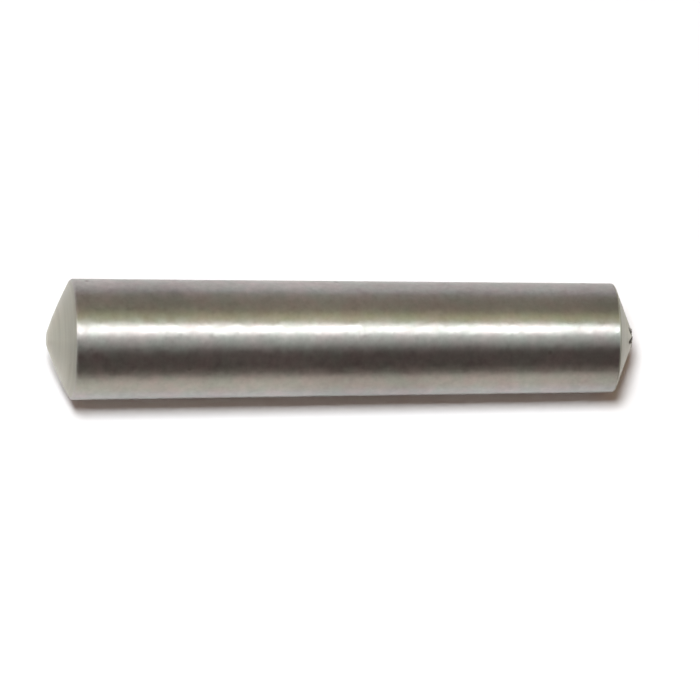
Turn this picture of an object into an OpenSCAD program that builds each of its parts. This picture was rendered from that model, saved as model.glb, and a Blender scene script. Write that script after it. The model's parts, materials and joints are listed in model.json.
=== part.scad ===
// Taper pin, turned from one bar of steel: a slow taper between two coned ends.
// The pin's axis is X. The origin is the centre of the gauge plane, where the taper's
// large end meets its crown, and +X runs towards the small end, the way it is driven in.
// Lengths are in millimetres and angles in degrees.

/* [Taper] */
// Diameter of the taper's large end, at the gauge plane
large_d = 10.39; // [8:0.01:14]
// Length over both ends
pin_l = 50.8; // [30:0.1:100]
// Length of taper over which the diameter falls by one millimetre
taper_run = 48; // [40:1:60]

/* [Large end] */
// Height of the crown, from the gauge plane to its tip
crown_h = 2.08; // [1:0.01:3]
// Radius of the crown's curve in section: small is domed, large is a plain cone
crown_r = 32; // [10:1:60]
// Diameter of the flat left at the crown's tip
tip_d = 1.3; // [0.4:0.1:3]
// Radius that breaks the edge between the crown and the taper
crown_edge_r = 0.35; // [0.05:0.05:0.5]

/* [Small end] */
// Height of the cone, from the end of the taper to the parting stub
cone_h = 1.57; // [0.5:0.01:2.5]
// Radius that breaks the edge between the cone and the taper
cone_edge_r = 0.2; // [0.05:0.05:0.6]

/* [Parting stub] */
// Diameter of the stub left where the pin was parted from its bar
stub_d = 1.8; // [0.8:0.1:3]
// Height of the stub
stub_h = 0.12; // [0.05:0.01:0.5]
// Width of the gouges that tore out of the cone at the foot of the stub
tear_w = 0.5; // [0.2:0.05:0.8]
// Length of the gouges, up the cone from the foot of the stub
tear_l = 1.25; // [0.5:0.05:1.5]
// Where the gouges lie round the axis, from +Z towards +Y
tear_angles = [-37, 3];

/* [Hidden] */
$fn = 180;

// Length of the taper, and the diameter it is left with
taper_l = pin_l - crown_h - cone_h - stub_h;
small_d = large_d - taper_l / taper_run;

// A round's centre lies this share of its radius under each side of its corner, so the
// round cuts both sides at a small clean angle instead of only touching them
round_depth = 0.99;

// Radius of the taper at a distance from the gauge plane
function taper_radius(distance) = (large_d - distance / taper_run) / 2;

function unit(v) = v / norm(v);

// A quarter turn to the left
function left(v) = [-v.y, v.x];

// Corners of half the pin's lengthwise section, as [radius, distance from the gauge plane]
tip_corner = [tip_d / 2, -crown_h];
crown_corner = [large_d / 2, 0];
cone_corner = [small_d / 2, taper_l];
stub_foot = [stub_d / 2, taper_l + cone_h];
stub_rim = [stub_d / 2, taper_l + cone_h + stub_h];

// The way along the taper's side from its large end, and down the cone to the stub
along_taper = unit(cone_corner - crown_corner);
along_cone = unit(stub_foot - cone_corner);

// Centre of the crown's curve, which runs from the tip's flat to the gauge plane
half_chord = (crown_corner - tip_corner) / 2;
crown_c = tip_corner + half_chord
    + sqrt(crown_r * crown_r - half_chord * half_chord) * unit(left(half_chord));

// Centre of the round inside the crown's curve, at a depth under it and under the taper
function crown_round_c(depth) =
    let (
        start = crown_corner + depth * left(along_taper) - crown_c,
        back = start * along_taper,
        reach = crown_r - depth
    )
    crown_c + start
        - (back + sqrt(back * back - start * start + reach * reach)) * along_taper;

// Centre of the round at a depth under the taper and under the cone
function cone_round_c(depth) =
    cone_corner
        + depth * (along_cone - along_taper) / abs(left(along_taper) * along_cone);

// Half of the blank, with the axis on its left and the crown not yet turned
module blank_section() {
    polygon([
        [0, tip_corner.y],
        [taper_radius(tip_corner.y), tip_corner.y],
        cone_corner,
        stub_foot,
        stub_rim,
        [0, stub_rim.y]
    ]);
}

// What turning the crown takes off the blank
module crown_waste() {
    difference() {
        translate([0, -2 * crown_h]) square([large_d, 2.5 * crown_h]);
        translate(crown_c) circle(r = crown_r, $fn = 4 * $fn);
    }
}

// What a round takes off its corner: u and v point from its centre square to the sides
module round_waste(centre, u, v, r) {
    arm = 2 * r;
    difference() {
        polygon([
            centre,
            centre + arm * u,
            centre + arm * (u + v) / (1 + u * v),
            centre + arm * v
        ]);
        translate(centre) circle(r = r);
    }
}

// Half of the finished pin's lengthwise section
module half_section() {
    crown_round = crown_round_c(round_depth * crown_edge_r);
    cone_round = cone_round_c(round_depth * cone_edge_r);
    difference() {
        blank_section();
        crown_waste();
        round_waste(
            crown_round, unit(crown_round - crown_c), -left(along_taper), crown_edge_r);
        round_waste(
            cone_round, -left(along_taper), -left(along_cone), cone_edge_r);
    }
}

// Gouges where the last of the metal tore as the pin left its bar. Each is deepest at the
// foot of the stub, in a round end, and rises out of the cone along its length.
module parting_tears() {
    cone_slope = atan2(cone_corner.x - stub_foot.x, cone_h);
    rise = asin(tear_w / 2 / tear_l);
    past_its_end = 1.5 * tear_l;
    for (angle = tear_angles)
        rotate([-angle, 0, 0])
            translate([stub_foot.y, 0, stub_foot.x])
                rotate([0, cone_slope - 90 + rise, 0]) {
                    sphere(d = tear_w, $fn = 32);
                    cylinder(d = tear_w, h = past_its_end, $fn = 32);
                }
}

module taper_pin() {
    color([0.37, 0.36, 0.34])
        difference() {
            rotate([0, 90, 0]) rotate_extrude() half_section();
            parting_tears();
        }
}

taper_pin();
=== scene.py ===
# %% [markdown]
# # A steel taper pin
#
# A taper pin locks a hub to its shaft. It is one piece of steel: turned from bar, given a
# crown on its large end and a cone on its small end, parted off, and then ground to a slow
# taper of 1 in 48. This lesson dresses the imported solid: it turns a finer pin on the same
# sizes, gives each surface the finish that its tool leaves, and lights it as a small bright
# part is lit, because polished steel shows little more than what stands around it.

import json
import math

import bpy
from mathutils import Matrix, Vector, noise


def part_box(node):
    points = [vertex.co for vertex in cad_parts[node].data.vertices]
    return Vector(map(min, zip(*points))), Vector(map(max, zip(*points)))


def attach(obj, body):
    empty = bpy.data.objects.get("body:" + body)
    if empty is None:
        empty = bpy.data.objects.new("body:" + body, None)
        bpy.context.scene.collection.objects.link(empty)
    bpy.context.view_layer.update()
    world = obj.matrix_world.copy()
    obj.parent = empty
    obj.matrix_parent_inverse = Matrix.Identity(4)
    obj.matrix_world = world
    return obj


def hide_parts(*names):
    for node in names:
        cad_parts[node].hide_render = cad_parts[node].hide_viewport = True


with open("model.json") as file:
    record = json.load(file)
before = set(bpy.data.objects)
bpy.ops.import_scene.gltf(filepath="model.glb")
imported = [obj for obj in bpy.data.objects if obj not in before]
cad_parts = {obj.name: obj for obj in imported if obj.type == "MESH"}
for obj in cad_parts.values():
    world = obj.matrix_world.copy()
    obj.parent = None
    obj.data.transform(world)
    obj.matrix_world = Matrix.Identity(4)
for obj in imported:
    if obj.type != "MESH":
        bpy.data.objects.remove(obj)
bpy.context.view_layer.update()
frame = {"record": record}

# %% [markdown]
# ## The pin's sizes
#
# The record's mount gives the taper: its radius at the gauge plane and its length. The
# solid's box gives both ends. Only the small forms of the two ends are typed in here, and
# they are the same real sizes that the solid was made with. The exception is the tiny
# round that breaks the edges of the two flats, which is too fine for the solid.

# %% Read the pin's sizes from the frame
MM = 0.001
TAPER_RUN = 48

seat = frame["record"]["mounts"][0]["dims"]
low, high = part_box("taper_pin")
large_r = seat["r_mm"] * MM
taper_l = seat["length_mm"] * MM
small_r = large_r - taper_l / (2 * TAPER_RUN)
crown_tip_x = low.x
stub_end_x = high.x

TIP_R = 0.65 * MM
TIP_ROUND = 0.05 * MM
RIM_ROUND = 0.025 * MM
CROWN_R = 32 * MM
CROWN_EDGE_ROUND = 0.35 * MM
CONE_EDGE_ROUND = 0.2 * MM
STUB_R = 0.9 * MM
STUB_H = 0.12 * MM
cone_end_x = stub_end_x - STUB_H
print(f"taper {large_r / MM:.3f} to {small_r / MM:.3f} mm radius over {taper_l / MM:.2f} mm")

# %% [markdown]
# ## The camera
#
# The camera stands high in front of the pin and leans towards its large end, so that the
# crown shows and the cone is only an edge. A long lens from well back keeps the pin's two
# sides nearly as straight and as close to parallel as they really are.

# %% Place the camera
CAMERA_HEIGHT_ANGLE = math.radians(67)
CAMERA_LEAN = math.radians(8.66)
CAMERA_ROLL = math.radians(-0.17)
CAMERA_DISTANCE = 0.76
LENS_MM = 454.7
AIM_RIGHT = 0.82 * MM
AIM_DOWN = 0.98 * MM

towards_camera = Vector((
    -math.sin(CAMERA_LEAN),
    -math.cos(CAMERA_LEAN) * math.cos(CAMERA_HEIGHT_ANGLE),
    math.cos(CAMERA_LEAN) * math.sin(CAMERA_HEIGHT_ANGLE),
))
pin_middle = Vector(((crown_tip_x + stub_end_x) / 2, 0, 0))


def camera_turn(backward, roll):
    """The turn of a camera that looks against `backward`, with the pin's axis across it."""
    right = (Vector((1, 0, 0)) - backward * backward.x).normalized()
    upright = Matrix((right, backward.cross(right), backward)).transposed()
    return upright @ Matrix.Rotation(roll, 3, "Z")


camera = bpy.data.objects.new("camera", bpy.data.cameras.new("camera"))
camera.data.lens = LENS_MM
camera.data.sensor_width = 36
camera.data.clip_start = 0.01
camera.data.clip_end = 100
turn = camera_turn(towards_camera, CAMERA_ROLL)
aim = pin_middle + turn @ Vector((AIM_RIGHT, -AIM_DOWN, 0))
camera.matrix_world = Matrix.Translation(aim + towards_camera * CAMERA_DISTANCE) @ turn.to_4x4()
bpy.context.scene.collection.objects.link(camera)
bpy.context.scene.camera = camera
print("camera at", [round(v, 3) for v in camera.location], "lens", LENS_MM, "mm")

# %% [markdown]
# ## Two helpers for nodes
#
# Both the lathe below and the finishes are node trees. `add` puts one node in a tree and
# fills its inputs: a socket is linked, and anything else is typed in. `open_sockets` gives
# a group its named inputs and outputs.

# %% Helpers that build node trees


def add(tree, kind, inputs=(), **settings):
    """Add a node, set its settings, and fill its inputs, given in order or by name."""
    made = tree.nodes.new(kind)
    made.location.x = 180 * len(tree.nodes)
    for name, value in settings.items():
        setattr(made, name, value)
    pairs = inputs.items() if isinstance(inputs, dict) else enumerate(inputs)
    for key, value in pairs:
        if isinstance(value, bpy.types.NodeSocket):
            tree.links.new(value, made.inputs[key])
        elif value is not None:
            made.inputs[key].default_value = value
    return made


def open_sockets(tree, inputs, outputs):
    """Give a group its sockets, each as (name, kind) or (name, kind, default)."""
    for in_out, rows in (("INPUT", inputs), ("OUTPUT", outputs)):
        for name, kind, *default in rows:
            made = tree.interface.new_socket(
                name, in_out=in_out, socket_type="NodeSocket" + kind)
            if default:
                made.default_value = default[0]


# %% [markdown]
# ## The section that the lathe follows
#
# A turned part is one line swung round an axis, so all of the shape's care goes into that
# line. It is a list of points, each with its distance along the axis, its radius, and the
# number of the finish there. Points stand close together in the small rounds that break
# the edges, because these catch the light, and spread out along the taper. On the two
# ends they keep step with the feed of the turning tool, four points to each turn.

# %% Draw half of the pin's section
GROUND, TURNED, TORN = 0, 1, 2
FEED = 0.17 * MM
POINTS_PER_FEED = 4
ROUND_POINTS = 8
TAPER_FIRST_STEP = 0.02 * MM
STUB_STEP = 0.03 * MM


def straight(a, b, step):
    """Points from a to b, both included, no further apart than step."""
    count = max(1, math.ceil((b - a).length / step))
    return [a.lerp(b, i / count) for i in range(count + 1)]


def graded(a, b, first, growth=1.35, widest=1.0 * MM):
    """Points from a to b that start close together and spread out towards the middle."""
    length = (b - a).length
    steps, reach, step = [], 0.0, first
    while reach < length / 2:
        steps.append(reach)
        reach += step
        step = min(step * growth, widest)
    places = steps + [length - s for s in reversed(steps)]
    return [a.lerp(b, s / length) for s in places]


def arc(centre, radius, start, end, count):
    """Points on an arc, from one angle to another."""
    angles = [start + (end - start) * i / count for i in range(count + 1)]
    return [centre + radius * Vector((math.cos(t), math.sin(t))) for t in angles]


def rounded(corner, before, after, radius):
    """The round that breaks a corner between the ways in from `before` and out to `after`."""
    back = (before - corner).normalized()
    on = (after - corner).normalized()
    half = back.angle(on) / 2
    centre = corner + (back + on).normalized() * radius / math.sin(half)
    start = corner + back * radius / math.tan(half) - centre
    end = corner + on * radius / math.tan(half) - centre
    a = math.atan2(start.y, start.x)
    b = math.atan2(end.y, end.x)
    turn = (b - a + math.pi) % (2 * math.pi) - math.pi
    return arc(centre, radius, a, a + turn, ROUND_POINTS)


def crown_curve(tip, edge):
    """The crown's shallow arc, which bulges away from the pin's middle."""
    half = (edge - tip) / 2
    inward = Vector((half.y, -half.x)).normalized()
    centre = tip + half + inward * math.sqrt(CROWN_R ** 2 - half.length_squared)
    start, end = tip - centre, edge - centre
    count = math.ceil((edge - tip).length / FEED * POINTS_PER_FEED)
    return arc(centre, CROWN_R, math.atan2(start.y, start.x),
               math.atan2(end.y, end.x), count)


tip_centre = Vector((crown_tip_x, 0))
tip = Vector((crown_tip_x, TIP_R))
crown_edge = Vector((0, large_r))
cone_edge = Vector((taper_l, small_r))
stub_foot = Vector((cone_end_x, STUB_R))
stub_rim = Vector((stub_end_x, STUB_R))
stub_centre = Vector((stub_end_x, 0))

# One feed from each end of the crown, its arc gives the direction for the round there
crown = crown_curve(tip, crown_edge)
after_tip, before_edge = crown[POINTS_PER_FEED], crown[-1 - POINTS_PER_FEED]
tip_round = rounded(tip, tip_centre, after_tip, TIP_ROUND)
crown_round = rounded(crown_edge, before_edge, cone_edge, CROWN_EDGE_ROUND)
cone_round = rounded(cone_edge, crown_edge, stub_foot, CONE_EDGE_ROUND)
rim_round = rounded(stub_rim, stub_foot, stub_centre, RIM_ROUND)
crown = [p for p in crown if tip_round[-1].y < p.y < crown_round[0].y]

section = [(p, TURNED) for p in straight(tip_centre, tip_round[0], FEED / POINTS_PER_FEED)]
section += [(p, TURNED) for p in tip_round[1:] + crown]
section += [(p, GROUND) for p in crown_round[:-1]]
section += [(p, GROUND) for p in graded(
    crown_round[-1], cone_round[0], TAPER_FIRST_STEP)]
section += [(p, TURNED) for p in cone_round[1:]]
section += [(p, TURNED) for p in straight(
    cone_round[-1], stub_foot, FEED / POINTS_PER_FEED)[1:-1]]
section += [(p, TORN) for p in straight(stub_foot, rim_round[0], STUB_STEP) + rim_round[1:]]
section += [(p, TORN) for p in straight(rim_round[-1], stub_centre, STUB_STEP)[1:]]
print(len(section), "points in the section")

# %% [markdown]
# ## Turning marks
#
# A pointed tool that feeds along while the work turns leaves a fine screw-like groove.
# Here it is a tiny scallop cut into the section of both ends, a few microns deep, so that
# the light breaks up on them as it does on real turned steel. The taper was ground
# afterwards, so its line stays straight.

# %% Cut the tool's marks into the section
MARK_DEPTH = 0.0025 * MM


def marked(rows):
    """The section with a scallop for each turn of the tool, on the turned stretches only."""
    cut = list(rows)
    for i in range(1, len(rows) - 1):
        point, finish = rows[i]
        if not rows[i - 1][1] == finish == rows[i + 1][1] == TURNED:
            continue
        along = (rows[i + 1][0] - rows[i - 1][0]).normalized()
        phase = i % POINTS_PER_FEED / POINTS_PER_FEED
        depth = MARK_DEPTH * (1 - (2 * phase - 1) ** 2)
        cut[i] = (point + depth * Vector((along.y, -along.x)), finish)
    return cut


section = marked(section)
print("deepest mark", MARK_DEPTH / MM, "mm")

# %% [markdown]
# ## The lathe
#
# Swinging a line round an axis is a rule, so Geometry Nodes do it. The tree takes the
# section's points, lays out a grid with one row for each point and one column for each
# step round the axis, looks up each vertex's point in the section, and turns it about X.
# Merge by Distance then closes the seam and the two poles. A Screw modifier would give the
# same shape, but the tree also carries each point's finish to the faces, which is how
# every stretch of the section gets its own material.

# %% Build the lathe
SEAM_GAP = 0.0001 * MM
STEPS_ROUND = 256

lathe = bpy.data.node_groups.new("lathe", "GeometryNodeTree")
lathe.is_modifier = True
open_sockets(
    lathe,
    [("Section", "Geometry"), ("Steps Round", "Int", STEPS_ROUND),
     ("Seam Gap", "Float", SEAM_GAP),
     ("Ground", "Material"), ("Turned", "Material"), ("Torn", "Material")],
    [("Pin", "Geometry")],
)
given = add(lathe, "NodeGroupInput").outputs
rows = add(lathe, "GeometryNodeAttributeDomainSize", [given["Section"]]).outputs["Point Count"]
columns = add(
    lathe, "FunctionNodeIntegerMath", [given["Steps Round"], 1], operation="ADD").outputs[0]
grid = add(lathe, "GeometryNodeMeshGrid", {"Vertices X": rows, "Vertices Y": columns})
index = add(lathe, "GeometryNodeInputIndex").outputs[0]
row = add(lathe, "FunctionNodeIntegerMath", [index, columns], operation="DIVIDE_FLOOR").outputs[0]
column = add(lathe, "FunctionNodeIntegerMath", [index, columns], operation="MODULO").outputs[0]
share = add(lathe, "ShaderNodeMath", [column, given["Steps Round"]], operation="DIVIDE").outputs[0]
angle = add(lathe, "ShaderNodeMath", [share, math.tau], operation="MULTIPLY").outputs[0]
place = add(lathe, "GeometryNodeInputPosition").outputs[0]
looked_up = add(
    lathe, "GeometryNodeSampleIndex",
    {"Geometry": given["Section"], "Value": place, "Index": row}, data_type="FLOAT_VECTOR")
swung = add(lathe, "ShaderNodeVectorRotate", {"Vector": looked_up.outputs[0], "Angle": angle},
            rotation_type="X_AXIS")
finish = add(lathe, "GeometryNodeInputNamedAttribute", {"Name": "finish"}, data_type="FLOAT")
looked_up_finish = add(
    lathe, "GeometryNodeSampleIndex",
    {"Geometry": given["Section"], "Value": finish.outputs[0], "Index": row}, data_type="FLOAT")
stored = add(
    lathe, "GeometryNodeStoreNamedAttribute",
    {"Geometry": grid.outputs["Mesh"], "Name": "finish", "Value": looked_up_finish.outputs[0]},
    data_type="FLOAT", domain="POINT")
placed = add(lathe, "GeometryNodeSetPosition",
             {"Geometry": stored.outputs[0], "Position": swung.outputs[0]})
closed = add(lathe, "GeometryNodeMergeByDistance",
             {"Geometry": placed.outputs[0], "Distance": given["Seam Gap"]})
outward = add(lathe, "GeometryNodeFlipFaces", {"Mesh": closed.outputs[0]})
smooth = add(lathe, "GeometryNodeSetShadeSmooth", {"Geometry": outward.outputs[0]})
real = add(lathe, "GeometryNodeRealizeInstances", [smooth.outputs[0]])
dressed = add(lathe, "GeometryNodeSetMaterial",
              {"Geometry": real.outputs[0], "Material": given["Ground"]})
JUST_TURNED, JUST_TORN = TURNED - 0.75, TORN - 0.25
for name, threshold in (("Turned", JUST_TURNED), ("Torn", JUST_TORN)):
    chosen = add(lathe, "ShaderNodeMath", [finish.outputs[0], threshold], operation="GREATER_THAN")
    dressed = add(lathe, "GeometryNodeSetMaterial", {
        "Geometry": dressed.outputs[0], "Selection": chosen.outputs[0], "Material": given[name]})
add(lathe, "NodeGroupOutput", [dressed.outputs[0]])
print("lathe has", len(lathe.nodes), "nodes")

# %% [markdown]
# ## Marks that run round the pin
#
# Grinding and turning both leave lines that run round the axis, so both finishes share one
# node group. It stretches a noise: fine across the lines, and slow round the pin. `Along`
# is the distance across the lines, which is the place along the axis on the taper and the
# distance from the axis on the ends.

# %% Group: marks round the axis


def group(name, inputs, outputs):
    """A new shader group with its sockets; returns the group and its inner inputs."""
    tree = bpy.data.node_groups.new(name, "ShaderNodeTree")
    open_sockets(tree, inputs, outputs)
    return tree, add(tree, "NodeGroupInput").outputs


round_marks, given = group(
    "marks round the axis",
    [("Position", "Vector"), ("Along", "Float"), ("Spacing", "Float", 0.0003),
     ("Length Round", "Float", 0.006)],
    [("Height", "Float"), ("Bands", "Float")],
)
across = add(
    round_marks, "ShaderNodeMath", [given["Along"], given["Spacing"]], operation="DIVIDE")
slowly = add(round_marks, "ShaderNodeMath", [1.0, given["Length Round"]], operation="DIVIDE")
parts = add(round_marks, "ShaderNodeSeparateXYZ", [given["Position"]])
y, z = (
    add(round_marks, "ShaderNodeMath", [parts.outputs[side], slowly.outputs[0]],
        operation="MULTIPLY").outputs[0]
    for side in ("Y", "Z"))
stretched = add(round_marks, "ShaderNodeCombineXYZ", [across.outputs[0], y, z])
fine = add(round_marks, "ShaderNodeTexNoise",
           {"Vector": stretched.outputs[0], "Scale": 1.0, "Detail": 2.0, "Roughness": 0.6})
spread = add(round_marks, "ShaderNodeVectorMath", [stretched.outputs[0], (0.17, 1.0, 1.0)],
             operation="MULTIPLY")
wide = add(round_marks, "ShaderNodeTexNoise",
           {"Vector": spread.outputs[0], "Scale": 1.0, "Detail": 1.0, "Roughness": 0.5})
add(round_marks, "NodeGroupOutput", {
    "Height": fine.outputs["Fac"], "Bands": wide.outputs["Fac"]})
print("group:", round_marks.name)

# %% [markdown]
# ## Patches and specks
#
# No steel surface is even. Oil, handling and the grinding wheel leave soft patches a few
# millimetres across, and here and there a small dark speck. One group gives both, at any
# size, so that the ground wall and the turned ends can each have their own.

# %% Group: patches and specks
SPECK_KEPT = 0.012
SPECK_SOLID = 0.08
SPECK_EDGE = 0.26

patchy, given = group(
    "patches and specks",
    [("Position", "Vector"), ("Patch Size", "Float", 0.003), ("Speck Size", "Float", 0.0008)],
    [("Patches", "Float"), ("Specks", "Float")],
)
per_patch = add(patchy, "ShaderNodeMath", [1.0, given["Patch Size"]], operation="DIVIDE")
soft = add(patchy, "ShaderNodeTexNoise", {
    "Vector": given["Position"], "Scale": per_patch.outputs[0], "Detail": 3.0, "Roughness": 0.55})
per_speck = add(patchy, "ShaderNodeMath", [1.0, given["Speck Size"]], operation="DIVIDE")
cells = add(patchy, "ShaderNodeTexVoronoi",
            {"Vector": given["Position"], "Scale": per_speck.outputs[0], "Randomness": 1.0})
near = add(patchy, "ShaderNodeMapRange", {
    "Value": cells.outputs["Distance"], "From Min": SPECK_SOLID, "From Max": SPECK_EDGE,
    "To Min": 1.0, "To Max": 0.0})
pick = add(patchy, "ShaderNodeSeparateColor", [cells.outputs["Color"]])
kept = add(patchy, "ShaderNodeMath", [pick.outputs[0], SPECK_KEPT], operation="LESS_THAN")
specks = add(patchy, "ShaderNodeMath", [near.outputs[0], kept.outputs[0]], operation="MULTIPLY")
add(patchy, "NodeGroupOutput", {
    "Patches": soft.outputs["Fac"], "Specks": specks.outputs[0]})
print("group:", patchy.name)

# %% [markdown]
# ## Ground steel
#
# The taper's wall is plain steel, ground between wheels. It is metal all through, a warm
# grey, and its shine is stretched along the pin, across the lines of the wheel. That is
# what Anisotropic does: the Tangent node gives the way round the axis, and a quarter turn
# of it makes the highlight spread along the axis, a little more towards the small end.
# Steel does reflect a little less where it is looked at head-on, but here the colour is
# made darker there than real steel is, as painted shade that dims the lamp's highlight on
# the side that faces the viewer. The wheel leaves a slight waviness too, a few microns over
# a millimetre or two, and this is what makes the edges of every highlight on a ground pin
# look frayed. Patches of three sizes, two of them clouds of darker and lighter grey and one
# of tint, keep the grey from being even.

# %% Material: ground steel
STEEL_WARM = (0.443, 0.404, 0.398, 1)
STEEL_COOL = (0.406, 0.419, 0.397, 1)
STEEL_SPECK = (0.23, 0.21, 0.19, 1)
GROUND_ROUGHNESS = 0.495
GROUND_ROUGHNESS_SPREAD = 0.11
ANISOTROPY_AT_LARGE_END = 0.96
ANISOTROPY_AT_SMALL_END = 1.0
QUARTER_TURN = 0.25
GROUND_MARK_SPACING = 0.6 * MM
GROUND_MARK_LENGTH = 1.6 * MM
GROUND_MARK_SHADE = 0.04
TINT_PATCH = 2 * MM
SMALL_CLOUD, SMALL_CLOUD_DEPTH = 0.9 * MM, 0.22
BROAD_CLOUD, BROAD_CLOUD_DEPTH = 12 * MM, 0.14
GROUND_SPECK = 1.2 * MM
# Painted shade: how dark the colour is made where the wall faces the viewer head-on
PAINTED_HEAD_ON_SHADE = 0.8
HEAD_ON_END = 0.06
FULL_SHADE_FROM = 0.165
WAVE_SIZE = 1 / 1400
WAVE_STRETCH = (1.0, 0.45, 0.45)
WAVE_HEIGHT = 0.026 * MM
SCORE_HEIGHT = 0.002 * MM


def mixed(tree, factor, a, b):
    """A colour between a and b."""
    made = add(tree, "ShaderNodeMix", data_type="RGBA")
    for key, value in ((0, factor), (6, a), (7, b)):
        if isinstance(value, bpy.types.NodeSocket):
            tree.links.new(value, made.inputs[key])
        else:
            made.inputs[key].default_value = value
    return made.outputs[2]


def remapped(tree, value, low, high, new_low, new_high):
    """A value stretched from one range to another, and kept in it."""
    return add(tree, "ShaderNodeMapRange", [value, low, high, new_low, new_high]).outputs[0]


def varied(tree, noisy, middle, spread):
    """A value that a noise moves to both sides of its middle."""
    return remapped(tree, noisy, 0.3, 0.7, middle - spread, middle + spread)


def times(tree, a, b):
    """One value times another."""
    return add(tree, "ShaderNodeMath", [a, b], operation="MULTIPLY").outputs[0]


def shaded(tree, colour, shade):
    """A colour made darker or lighter."""
    return add(tree, "ShaderNodeVectorMath", {"Vector": colour, "Scale": shade},
               operation="SCALE").outputs[0]


def patches_on(tree, place, patch_size, speck_size):
    """The patches and the specks at a place, from their shared group."""
    return add(tree, "ShaderNodeGroup", {
        "Position": place, "Patch Size": patch_size, "Speck Size": speck_size},
        node_tree=patchy).outputs


def steel(name, anisotropy):
    """A new metal material whose shine is stretched across marks that run round X."""
    material = bpy.data.materials.new(name)
    material.use_nodes = True
    tree = material.node_tree
    shader = tree.nodes["Principled BSDF"]
    shader.inputs["Metallic"].default_value = 1.0
    shader.inputs["Anisotropic"].default_value = anisotropy
    shader.inputs["Anisotropic Rotation"].default_value = QUARTER_TURN
    way_round = add(tree, "ShaderNodeTangent", direction_type="RADIAL", axis="X")
    tree.links.new(way_round.outputs[0], shader.inputs["Tangent"])
    place = add(tree, "ShaderNodeTexCoord").outputs["Object"]
    return material, tree, shader, place


ground_steel, tree, shader, place = steel("ground_steel", ANISOTROPY_AT_LARGE_END)
along = add(tree, "ShaderNodeSeparateXYZ", [place]).outputs["X"]
marks = add(tree, "ShaderNodeGroup", {
    "Position": place, "Along": along, "Spacing": GROUND_MARK_SPACING,
    "Length Round": GROUND_MARK_LENGTH}, node_tree=round_marks).outputs
patches = patches_on(tree, place, TINT_PATCH, GROUND_SPECK)
small = patches_on(tree, place, SMALL_CLOUD, GROUND_SPECK)
broad = patches_on(tree, place, BROAD_CLOUD, GROUND_SPECK)

tint = remapped(tree, patches["Patches"], 0.35, 0.65, 0.0, 1.0)
colour = mixed(tree, tint, STEEL_WARM, STEEL_COOL)
shade = varied(tree, marks["Height"], 1, GROUND_MARK_SHADE)
for cloud, depth in ((small, SMALL_CLOUD_DEPTH), (broad, BROAD_CLOUD_DEPTH)):
    shade = times(tree, shade, varied(tree, cloud["Patches"], 1, depth))
# Painted shade: the colour is made darker where the wall faces the viewer head-on
turned_away = add(tree, "ShaderNodeLayerWeight").outputs["Facing"]
painted_facing_shade = remapped(tree, turned_away, HEAD_ON_END, FULL_SHADE_FROM, PAINTED_HEAD_ON_SHADE, 1.0)
shade = times(tree, shade, painted_facing_shade)
colour = mixed(tree, patches["Specks"], shaded(tree, colour, shade), STEEL_SPECK)
tree.links.new(colour, shader.inputs["Base Color"])

stretch = remapped(tree, along, 0.0, taper_l, ANISOTROPY_AT_LARGE_END,
                   ANISOTROPY_AT_SMALL_END)
tree.links.new(stretch, shader.inputs["Anisotropic"])
rough = varied(tree, small["Patches"], GROUND_ROUGHNESS, GROUND_ROUGHNESS_SPREAD)
tree.links.new(rough, shader.inputs["Roughness"])

stretched = add(tree, "ShaderNodeVectorMath", [place, WAVE_STRETCH], operation="MULTIPLY")
waves = add(tree, "ShaderNodeTexNoise", {
    "Vector": stretched.outputs[0], "Scale": 1 / WAVE_SIZE, "Detail": 2.0, "Roughness": 0.5})
wavy = add(tree, "ShaderNodeBump", {
    "Strength": 1.0, "Distance": WAVE_HEIGHT, "Height": waves.outputs["Fac"]})
scored = add(tree, "ShaderNodeBump", {
    "Strength": 1.0, "Distance": SCORE_HEIGHT, "Height": marks["Height"],
    "Normal": wavy.outputs["Normal"]})
tree.links.new(scored.outputs["Normal"], shader.inputs["Normal"])
print("material:", ground_steel.name)

# %% [markdown]
# ## Turned steel
#
# Both ends were turned and never ground, so they are duller and a little lighter, and
# their marks are rings. The same group draws the rings, with the distance from the axis in
# place of the distance along it. Three tones are painted on top: a painted sheen makes the
# colour lighter where the surface turns away from the viewer and a little darker where it
# faces it, painted shade makes it paler near the axis and darker towards the rim, and more
# painted shade makes the cone a little darker than the crown.

# %% Material: turned steel
TURNED_WARM = (0.435, 0.427, 0.377, 1)
TURNED_COOL = (0.42, 0.422, 0.38, 1)
TURNED_ROUGHNESS = 0.55
TURNED_ROUGHNESS_SPREAD = 0.05
TURNED_ANISOTROPY = 0.35
RING_SPACING = 0.25 * MM
RING_LENGTH = 10 * MM
RING_SHADE = 0.05
TURNED_SPECK = 1.5 * MM
# Painted sheen: lighter where the surface turns away, darker where it faces the viewer
FACING_FROM, FACING_TO = 0.39, 0.80
PAINTED_FACING_SHADE, PAINTED_AWAY_SHEEN = 0.94, 1.14
# Painted shade: paler near the axis, darker towards the rim
MIDDLE_R = 1 * MM
PAINTED_MIDDLE_LIGHT, PAINTED_RIM_SHADE = 1.12, 0.90
# Painted shade: the cone is made darker than the crown
CONE_PAINTED_SHADE = 0.87

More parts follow.
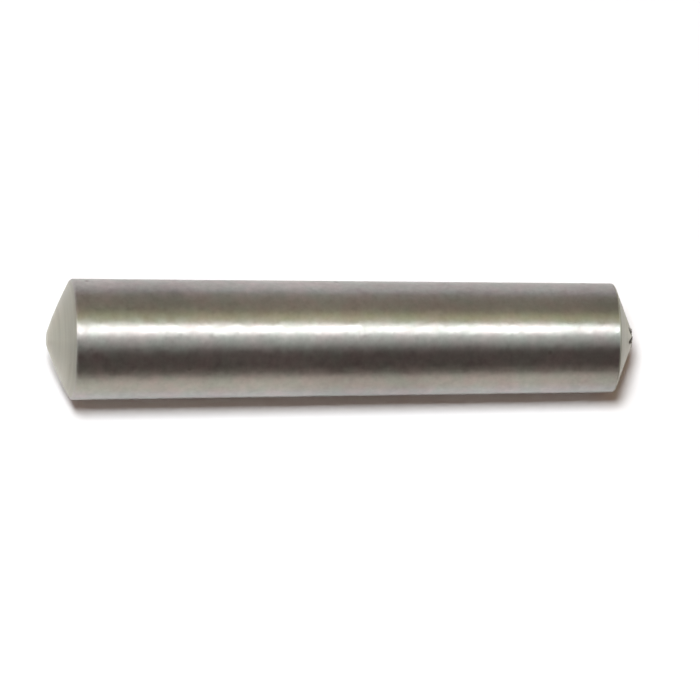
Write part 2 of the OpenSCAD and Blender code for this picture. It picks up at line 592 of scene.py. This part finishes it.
turned_steel, tree, shader, place = steel("turned_steel", TURNED_ANISOTROPY)
crosswise = add(tree, "ShaderNodeVectorMath", [place, (0.0, 1.0, 1.0)], operation="MULTIPLY")
from_axis = add(tree, "ShaderNodeVectorMath", [crosswise.outputs[0]],
                operation="LENGTH").outputs["Value"]
along = add(tree, "ShaderNodeSeparateXYZ", [place]).outputs["X"]
marks = add(tree, "ShaderNodeGroup", {
    "Position": place, "Along": from_axis, "Spacing": RING_SPACING,
    "Length Round": RING_LENGTH}, node_tree=round_marks).outputs
patches = patches_on(tree, place, TINT_PATCH, TURNED_SPECK)
tint = remapped(tree, patches["Patches"], 0.35, 0.65, 0.0, 1.0)
colour = mixed(tree, tint, TURNED_WARM, TURNED_COOL)
shade = varied(tree, marks["Height"], 1, RING_SHADE)
facing = add(tree, "ShaderNodeLayerWeight").outputs["Facing"]
# Painted sheen: the colour is lighter where the surface turns away from the viewer
painted_facing_shade = remapped(tree, facing, FACING_FROM, FACING_TO, PAINTED_FACING_SHADE, PAINTED_AWAY_SHEEN)
# Painted shade: the colour is paler near the axis and darker towards the rim
centre = remapped(tree, from_axis, MIDDLE_R, large_r, PAINTED_MIDDLE_LIGHT, PAINTED_RIM_SHADE)
# Painted shade: the colour darkens along the axis towards the cone
end = remapped(tree, along, 0.0, taper_l, 1.0, CONE_PAINTED_SHADE)
for part in (painted_facing_shade, centre, end):
    shade = times(tree, shade, part)
colour = mixed(tree, patches["Specks"], shaded(tree, colour, shade), STEEL_SPECK)
tree.links.new(colour, shader.inputs["Base Color"])
rough = varied(tree, marks["Bands"], TURNED_ROUGHNESS, TURNED_ROUGHNESS_SPREAD)
tree.links.new(rough, shader.inputs["Roughness"])
scored = add(tree, "ShaderNodeBump", {
    "Strength": 1.0, "Distance": SCORE_HEIGHT, "Height": marks["Height"]})
tree.links.new(scored.outputs["Normal"], shader.inputs["Normal"])
print("material:", turned_steel.name)

# %% [markdown]
# ## Torn steel
#
# The last thread of metal that joined the pin to its bar tore off, and left a small rough
# stub with two gouges at its foot. Torn steel is grey and grainy. The gouges are coloured
# dark, partly as dirt that stays in them and partly as painted shade in their hollows. The
# attribute `tear`, which is written when the stub is torn below, says how deep in a gouge a
# point lies.

# %% Material: torn steel
TORN_FACE = (0.34, 0.325, 0.30, 1)
# Dirt and painted shade in the gouges
TORN_DIRT_AND_SHADE = (0.07, 0.06, 0.06, 1)
TORN_SHADE, TORN_SHADE_SPREAD = 0.925, 0.175
TORN_ROUGHNESS, TORN_ROUGHNESS_SPREAD = 0.65, 0.1
GRAIN_SIZE = 1 / 9000
GRAIN_HEIGHT = 0.01 * MM

torn_steel, tree, shader, place = steel("torn_steel", 0.0)
tear = add(tree, "ShaderNodeAttribute", attribute_name="tear").outputs["Fac"]
grain = add(tree, "ShaderNodeTexNoise", {
    "Vector": place, "Scale": 1 / GRAIN_SIZE, "Detail": 3.0, "Roughness": 0.6}).outputs["Fac"]
# Dirt and painted shade: the deeper a point lies in a gouge, the darker its colour
colour = mixed(tree, tear, TORN_FACE, TORN_DIRT_AND_SHADE)
shade = varied(tree, grain, TORN_SHADE, TORN_SHADE_SPREAD)
tree.links.new(shaded(tree, colour, shade), shader.inputs["Base Color"])
rough = varied(tree, grain, TORN_ROUGHNESS, TORN_ROUGHNESS_SPREAD)
tree.links.new(rough, shader.inputs["Roughness"])
grainy = add(tree, "ShaderNodeBump", {
    "Strength": 1.0, "Distance": GRAIN_HEIGHT, "Height": grain})
tree.links.new(grainy.outputs["Normal"], shader.inputs["Normal"])
print("material:", torn_steel.name)

# %% [markdown]
# ## Turn the pin
#
# The section becomes a mesh of loose points, the lathe is put on it as a modifier, and the
# result is taken off as a plain mesh. A modifier's inputs are set by the identifier of each
# socket, so a small table turns names into identifiers.

# %% Turn the pin
blank_mesh = bpy.data.meshes.new("section")
blank_mesh.from_pydata([(p.x, p.y, 0) for p, finish in section], [], [])
finishes = blank_mesh.attributes.new("finish", "FLOAT", "POINT")
finishes.data.foreach_set("value", [finish for p, finish in section])
blank = bpy.data.objects.new("section", blank_mesh)
bpy.context.scene.collection.objects.link(blank)

turning = blank.modifiers.new("lathe", "NODES")
turning.node_group = lathe
socket_ids = {item.name: item.identifier for item in lathe.interface.items_tree}
for name, value in (("Steps Round", STEPS_ROUND), ("Seam Gap", SEAM_GAP),
                    ("Ground", ground_steel), ("Turned", turned_steel),
                    ("Torn", torn_steel)):
    turning[socket_ids[name]] = value
graph = bpy.context.evaluated_depsgraph_get()
pin_mesh = bpy.data.meshes.new_from_object(blank.evaluated_get(graph), depsgraph=graph)
pin_mesh.name = "pin"
pin_mesh.materials.pop(index=0)  # the grid's own empty slot
bpy.data.objects.remove(blank)
pin = bpy.data.objects.new("pin", pin_mesh)
bpy.context.scene.collection.objects.link(pin)
pin_mesh.calc_loop_triangles()
print(len(pin_mesh.loop_triangles), "triangles,", [m.name for m in pin_mesh.materials])

# %% [markdown]
# ## Tear the stub
#
# Tearing has no rule, so this is sculpting in code. Every point of the stub is pushed about
# by a smooth noise. Two gouges are then pressed into the cone at the places that the solid
# has them: each is the track of a ball, deepest at the foot of the stub and rising out of
# the cone. Points only ever move into the metal, so the pin keeps its length.

# %% Tear the stub
TEAR_W = 0.5 * MM
TEAR_L = 1.25 * MM
TEAR_ANGLES = (-37, 3)
TEAR_RAGGED = 0.3
STUB_ROUGHNESS = 0.07 * MM
STUB_GRAIN = 0.22 * MM
STUB_PULL = 0.08
FINER_GRAIN = 2.7
PULL_GRAIN = 1.3
RAGGED_GRAIN = 3
TORN_FROM = 0.1
NEARLY = 0.001 * MM


tear_r = TEAR_W / 2
rise = math.asin(tear_r / TEAR_L)
up_cone = (cone_edge - stub_foot).normalized()


def gouge_frame(degrees):
    """Foot, way up the cone, way out of it and way across, for a gouge at this angle."""
    t = math.radians(degrees)
    outward = Vector((0, math.sin(t), math.cos(t)))
    foot = Vector((stub_foot.x, 0, 0)) + outward * stub_foot.y
    up = Vector((up_cone.x, 0, 0)) + outward * up_cone.y
    out = Vector((up_cone.y, 0, 0)) - outward * up_cone.x
    return foot, up, out, up.cross(out)


def gouge_depth(place, foot, up, out, across):
    """How far the track of the ball lies under a place, measured square to the cone."""
    away = place - foot
    along, height, aside = away.dot(up), away.dot(out), away.dot(across)
    left = tear_r ** 2 - aside ** 2 - min(0.0, along) ** 2
    if left <= 0:
        return 0.0
    climb = max(0.0, along) * math.tan(rise)
    return max(0.0, height + math.sqrt(left) - climb)


gouges = [gouge_frame(degrees) for degrees in TEAR_ANGLES]
tears = pin_mesh.attributes.new("tear", "FLOAT", "POINT")
depths = [0.0] * len(pin_mesh.vertices)
for vertex in pin_mesh.vertices:
    place = vertex.co.copy()
    from_axis = math.hypot(place.y, place.z)
    if place.x < cone_end_x - 2 * TEAR_L or from_axis > STUB_R + 2 * TEAR_L:
        continue
    if place.x > cone_end_x + NEARLY or from_axis < STUB_R - NEARLY:
        loose = min(1.0, (place.x - cone_end_x) / STUB_H)
        coarse = noise.noise(place / STUB_GRAIN)
        rough = coarse + 0.5 * noise.noise(place / STUB_GRAIN * FINER_GRAIN)
        vertex.co.x -= STUB_ROUGHNESS * loose * min(1.0, max(0.0, 0.5 + rough))
        pull = 1 - STUB_PULL * loose * (1 + noise.noise(place / STUB_GRAIN * PULL_GRAIN))
        vertex.co.y *= pull
        vertex.co.z *= pull
    for foot, up, out, across in gouges:
        depth = gouge_depth(place, foot, up, out, across)
        ragged = 1 + TEAR_RAGGED * noise.noise(place / STUB_GRAIN * RAGGED_GRAIN)
        vertex.co -= out * depth * ragged
        depths[vertex.index] = max(depths[vertex.index], min(1.0, depth / tear_r))
tears.data.foreach_set("value", depths)
torn_index = pin_mesh.materials.find(torn_steel.name)
for face in pin_mesh.polygons:
    if max(depths[v] for v in face.vertices) > TORN_FROM:
        face.material_index = torn_index
pin_mesh.update()
print(sum(d > 0 for d in depths), "points pressed into the gouges")

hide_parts("taper_pin")
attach(pin, "root")

# %% [markdown]
# ## The floor
#
# The pin lies on its side, and because it is a cone it lies on one straight line of its
# wall. The floor follows that line, so it rises by half the taper, and the pin touches it
# all the way along. It is white paper with a very faint glow, which only the eye sees,
# straight or in a reflection.

# %% Floor
FLOOR_HALF = 4.0
FLOOR_COLOUR = (0.97, 0.98, 0.99, 1)
FLOOR_LIFT = 0.015

slope = 1 / (2 * TAPER_RUN)


def sheet(name, half_l, front, back, lift):
    """A flat rectangle on the slope of the pin's underside, or lifted a little off it."""
    mesh = bpy.data.meshes.new(name)
    mesh.from_pydata(
        [(x, y, lift + x * slope - large_r) for x, y in (
            (-half_l, front), (half_l, front), (half_l, back), (-half_l, back))],
        [], [(0, 1, 2, 3)])
    made = bpy.data.objects.new(name, mesh)
    bpy.context.scene.collection.objects.link(made)
    return made


def emptied(data):
    """The node tree of a material or world, with its nodes cleared away."""
    data.use_nodes = True
    data.node_tree.nodes.clear()
    return data.node_tree


def seen_directly(tree):
    """1 for rays that show something to the eye: straight, in a reflection or through glass."""
    rays = add(tree, "ShaderNodeLightPath").outputs
    either = add(tree, "ShaderNodeMath", [rays["Is Camera Ray"], rays["Is Glossy Ray"]],
                 operation="MAXIMUM")
    return add(tree, "ShaderNodeMath", [either.outputs[0], rays["Is Transmission Ray"]],
               operation="MAXIMUM").outputs[0]


floor = sheet("floor", FLOOR_HALF, -FLOOR_HALF, FLOOR_HALF, 0)
paper = bpy.data.materials.new("paper")
tree = emptied(paper)
matt = add(tree, "ShaderNodeBsdfDiffuse", {"Color": FLOOR_COLOUR})
glow = add(tree, "ShaderNodeEmission", {
    "Strength": times(tree, seen_directly(tree), FLOOR_LIFT)})
both = add(tree, "ShaderNodeAddShader", [matt.outputs[0], glow.outputs[0]])
add(tree, "ShaderNodeOutputMaterial", [both.outputs[0]])
floor.data.materials.append(paper)
print("floor rises", round(slope * 1000, 2), "mm in a metre")

# %% [markdown]
# ## The room that the steel shows
#
# Bright metal has hardly any colour of its own: it shows the room. So the room is built as
# a photographer builds it, from panels round the pin. Going over the pin from front to back
# they are dark, then dim, then a white panel, the lamp's own hood, a cream panel, a mid
# grey, and a white edge at the back. A half cylinder carries them all, with a colour ramp
# that runs over it by angle: each step names an angle in degrees and the tone it has
# there. As light on the pin and the floor they count for much less than in reflections,
# and warmer, so that the shadow is deep and warm.
#
# In front lies a dark card, just over the floor. It is clear beside the pin and grows
# dense further out, each step being a distance in millimetres and its density there. Only
# reflections see it: it ends the bright floor in the steel.

# %% Panels round the pin
ROOM_R = 2.4
ROOM_HALF_L = 3.9
FRONT_DARK = (0.06, 0.04, 0.04, 1)
FRONT_DIM = (0.22, 0.18, 0.17, 1)
PANEL_WHITE = (1.4, 1.45, 1.4, 1)
LAMP_HOOD = (0.6, 0.6, 0.45, 1)
PANEL_CREAM = (1.4, 1.35, 0.85, 1)
BACK_GREY = (0.47, 0.42, 0.34, 1)
BACK_WHITE = (0.8, 0.8, 0.9, 1)
ROOM = (
    (0, FRONT_DARK),
    (20, FRONT_DIM),
    (43, FRONT_DIM),
    (64, PANEL_WHITE),
    (76, PANEL_WHITE),
    (82, LAMP_HOOD),
    (96, LAMP_HOOD),
    (104, PANEL_CREAM),
    (110, PANEL_CREAM),
    (126, BACK_GREY),
    (168, BACK_GREY),
    (180, BACK_WHITE),
)
ROOM_FACES = 48
ROOM_LIGHT = (0.18, 0.09, 0.05)
END_COLOUR = (0.34, 0.32, 0.29, 1)
CARD_START = 0.008
CARD_END = 2.3
CARD_HALF_L = 2.0
CARD_LIFT = 0.5 * MM
CARD_COLOUR = (0.09, 0.064, 0.056, 1)
CARD_TINT = (0.98, 0.95, 0.85, 1)
CARD_DENSITY = ((0, 0.0), (11, 0.08), (19, 0.4), (30, 0.8), (40, 1.0))

arch = [math.pi * i / ROOM_FACES for i in range(ROOM_FACES + 1)]
corners = [(x, -ROOM_R * math.cos(t), ROOM_R * math.sin(t) - large_r)
           for t in arch for x in (-ROOM_HALF_L, ROOM_HALF_L)]
room_mesh = bpy.data.meshes.new("room")
wall = [(2 * i, 2 * i + 1, 2 * i + 3, 2 * i + 2) for i in range(ROOM_FACES)]
ends = [range(0, 2 * ROOM_FACES + 2, 2), range(1, 2 * ROOM_FACES + 2, 2)]
room_mesh.from_pydata(corners, [], wall + [tuple(end) for end in ends])
room = bpy.data.objects.new("room", room_mesh)
bpy.context.scene.collection.objects.link(room)
room.visible_camera = False
room.visible_shadow = False


def ramp_over(tree, value, steps):
    """A colour ramp with these steps, each as (place from 0 to 1, colour)."""
    ramp = add(tree, "ShaderNodeValToRGB", [value])
    stops = ramp.color_ramp.elements
    while len(stops) < len(steps):
        stops.new(0.5)
    for stop, (place, colour) in zip(stops, steps):
        stop.position = place
        stop.color = colour
    return ramp.outputs[0]


def plain_panel(name, colour):
    """A panel of one tone, and its tree, glow and output for what more it needs."""
    material = bpy.data.materials.new(name)
    tree = emptied(material)
    glow = add(tree, "ShaderNodeEmission", {"Color": colour})
    output = add(tree, "ShaderNodeOutputMaterial", [glow.outputs[0]])
    return material, tree, glow, output


panels = bpy.data.materials.new("panels")
tree = emptied(panels)
parts = add(tree, "ShaderNodeSeparateXYZ", [add(tree, "ShaderNodeTexCoord").outputs["Object"]])
front = times(tree, parts.outputs["Y"], -1.0)
angle = add(tree, "ShaderNodeMath", [parts.outputs["Z"], front], operation="ARCTAN2")
share = add(tree, "ShaderNodeMath", [angle.outputs[0], math.pi], operation="DIVIDE")
tone = ramp_over(tree, share.outputs[0], [(degrees / 180, tone) for degrees, tone in ROOM])
given_out = add(tree, "ShaderNodeVectorMath", [tone, ROOM_LIGHT], operation="MULTIPLY")
colour = mixed(tree, seen_directly(tree), given_out.outputs[0], tone)
glow = add(tree, "ShaderNodeEmission", {"Color": colour})
add(tree, "ShaderNodeOutputMaterial", [glow.outputs[0]])
room_mesh.materials.append(panels)
room_mesh.materials.append(plain_panel("end_panels", END_COLOUR)[0])
for face in room_mesh.polygons[ROOM_FACES:]:
    face.material_index = 1

card = sheet("card", CARD_HALF_L, -CARD_END, -CARD_START, CARD_LIFT)
card.visible_camera = False
card.visible_shadow = False
card.visible_diffuse = False
dark, tree, glow, output = plain_panel("dark_card", CARD_COLOUR)
parts = add(tree, "ShaderNodeSeparateXYZ", [add(tree, "ShaderNodeTexCoord").outputs["Object"]])
card_reach = CARD_DENSITY[-1][0]
far = CARD_START + card_reach * MM
reach = remapped(tree, parts.outputs["Y"], -CARD_START, -far, 0.0, 1.0)
density = ramp_over(
    tree, reach, [(mm / card_reach, (dense, dense, dense, 1)) for mm, dense in CARD_DENSITY])
clear = add(tree, "ShaderNodeBsdfTransparent", {"Color": CARD_TINT})
veil = add(tree, "ShaderNodeMixShader", [density, clear.outputs[0], glow.outputs[0]])
tree.links.new(veil.outputs[0], output.inputs[0])
card.data.materials.append(dark)
print(len(ROOM), "steps of tone over the room")

# %% [markdown]
# ## The lamp
#
# One small lamp hangs almost straight over the pin, a little towards the front, and leans
# towards the large end. Its size sets how soft the shadow's edge is, and its place sets
# where the shadow falls. The steel stretches it along the pin into one even highlight. It
# is a little cool, which makes up for the warm light of the panels, so that the open floor
# is white. Its power is worked out from the brightness that the steel should see, because
# an area lamp spreads its power over its face and over all directions.

# %% Lamp
LAMP_ANGLE = math.radians(85.8)
LAMP_LEAN = math.radians(12.1)
LAMP_AWAY = 1.2
LAMP_L = 0.27
LAMP_W = 0.32
LAMP_BRIGHTNESS = 54
LAMP_COLOUR = (0.96, 0.98, 1.0)

lamp_data = bpy.data.lights.new("lamp", "AREA")
lamp_data.shape = "RECTANGLE"
lamp_data.size = LAMP_L
lamp_data.size_y = LAMP_W
lamp_data.energy = LAMP_BRIGHTNESS * math.pi * LAMP_L * LAMP_W
lamp_data.color = LAMP_COLOUR
lamp = bpy.data.objects.new("lamp", lamp_data)
lamp_way = Vector((
    -math.sin(LAMP_LEAN),
    -math.cos(LAMP_LEAN) * math.cos(LAMP_ANGLE),
    math.cos(LAMP_LEAN) * math.sin(LAMP_ANGLE),
))
lamp.matrix_world = (Matrix.Translation(pin_middle + lamp_way * LAMP_AWAY)
                     @ camera_turn(lamp_way, 0).to_4x4())
bpy.context.scene.collection.objects.link(lamp)
print("lamp power", round(lamp_data.energy, 1), "W")

# %% [markdown]
# ## The backdrop
#
# Past the floor there is plain white, for the eye and for reflections alike. For the light
# that it gives, the world is only a dim grey.

# %% World
WORLD_LIGHT = (0.3, 0.3, 0.3, 1)
WORLD_SEEN = (1, 1, 1, 1)

world = bpy.data.worlds.new("world")
bpy.context.scene.world = world
tree = emptied(world)
dim = add(tree, "ShaderNodeBackground", {"Color": WORLD_LIGHT})
white = add(tree, "ShaderNodeBackground", {"Color": WORLD_SEEN, "Strength": 1.0})
chosen = add(tree, "ShaderNodeMixShader", [
    seen_directly(tree), dim.outputs[0], white.outputs[0]])
add(tree, "ShaderNodeOutputWorld", [chosen.outputs[0]])
bpy.context.scene.view_settings.view_transform = "Standard"
